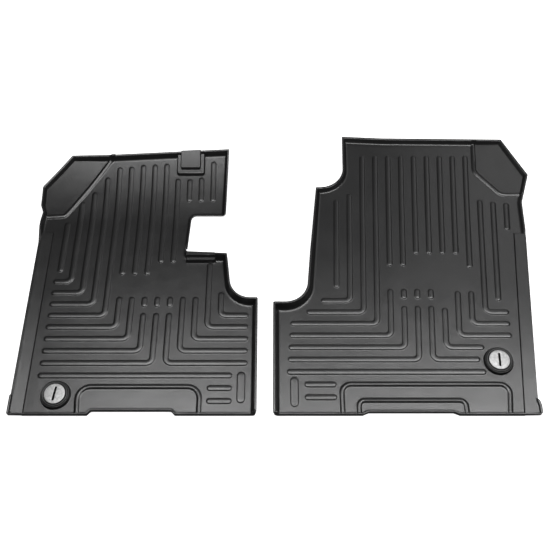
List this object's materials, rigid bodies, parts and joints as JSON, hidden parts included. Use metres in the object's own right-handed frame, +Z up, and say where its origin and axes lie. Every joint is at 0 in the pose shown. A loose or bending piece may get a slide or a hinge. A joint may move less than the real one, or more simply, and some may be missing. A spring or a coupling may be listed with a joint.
{
  "type": "floor mat set",
  "caption": "Black moulded tray mats for a truck cab's driver and passenger footwells, with raised ribs, turned-up toe ends, rims and quarter-turn floor anchors.",
  "frame": {"origin": "the middle of the set's footprint, on the cab floor that the mats lie on", "axes": "+X towards the passenger side, +Y towards the front of the cab, +Z up"},
  "size_m": [1.4452, 0.89, 0.0699],
  "materials": {
    "mat": "satin",
    "black_nylon": "satin",
    "cast_metal": "satin",
    "spring_steel": "satin"
  },
  "bodies": {
    "driver_tray": {"driver_mat": "mat", "driver_grommet": "black_nylon", "driver_backing_ring": "black_nylon"},
    "driver_anchor": {"driver_turn_disc": "cast_metal", "driver_wave_washer": "spring_steel", "driver_lock_bar": "cast_metal", "driver_retaining_ring": "spring_steel"},
    "passenger_tray": {"passenger_mat": "mat", "passenger_grommet": "black_nylon", "passenger_backing_ring": "black_nylon"},
    "passenger_anchor": {"passenger_turn_disc": "cast_metal", "passenger_wave_washer": "spring_steel", "passenger_lock_bar": "cast_metal", "passenger_retaining_ring": "spring_steel"}
  },
  "joints": [
    {"name": "passenger_lift", "type": "slide", "parent": "driver_tray", "child": "passenger_tray", "axis": [0, 0, 1], "range_m": [0, 0.2]},
    {"name": "driver_anchor_turn", "type": "hinge", "parent": "driver_tray", "child": "driver_anchor", "pos_m": [-0.60018, -0.39052, 0], "axis": [0, 0, -1], "range_deg": [0, 90]},
    {"name": "passenger_anchor_turn", "type": "hinge", "parent": "passenger_tray", "child": "passenger_anchor", "pos_m": [0.54982, -0.29652, 0], "axis": [0, 0, -1], "range_deg": [0, 90]}
  ]
}
